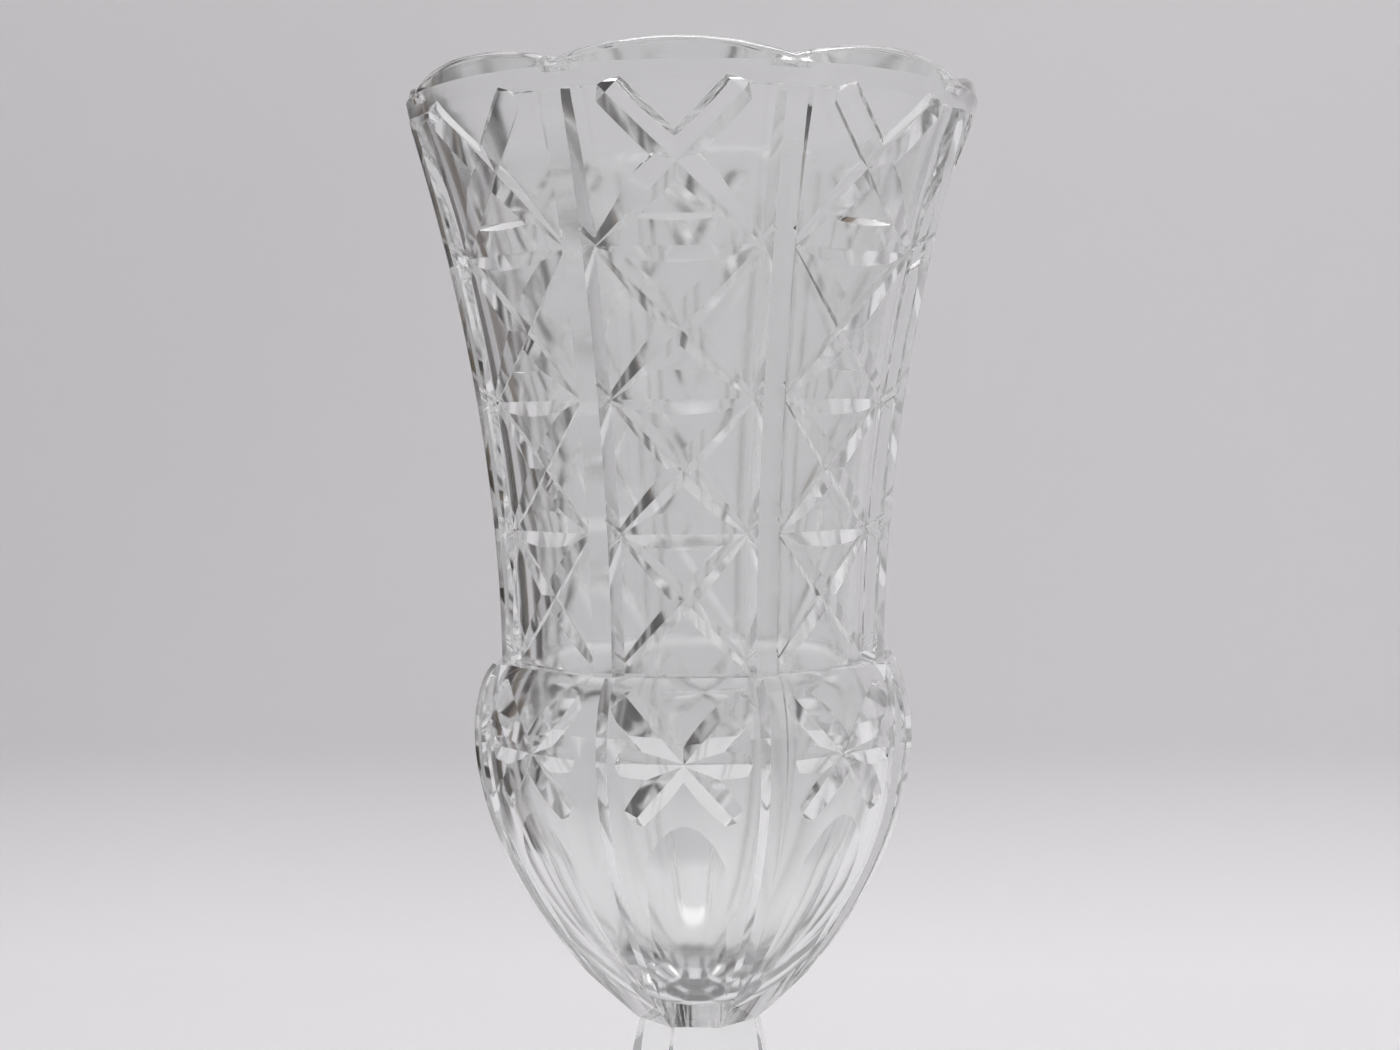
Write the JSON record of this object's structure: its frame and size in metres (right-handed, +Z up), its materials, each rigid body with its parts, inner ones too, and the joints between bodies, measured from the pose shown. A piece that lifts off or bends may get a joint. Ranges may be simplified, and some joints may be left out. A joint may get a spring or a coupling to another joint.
{
  "type": "cut crystal vase",
  "caption": "Footed cut crystal vase: flared body with scalloped rim and crossing mitre cuts, on a rounded star-cut bowl, a faceted knopped stem and a spreading round foot.",
  "frame": {"origin": "centre of the foot's underside, on the surface the vase stands on", "axes": "+Z up along the vase's axis; the middle of one cut panel faces -Y and another faces +X"},
  "size_m": [0.1352, 0.1352, 0.3005],
  "materials": {
    "upper_body_glass": "polished",
    "bowl_glass": "polished",
    "stem_glass": "polished",
    "foot_glass": "polished"
  },
  "bodies": {
    "root": {"upper_body": "upper_body_glass", "bowl": "bowl_glass", "stem": "stem_glass", "foot": "foot_glass"}
  },
  "joints": []
}
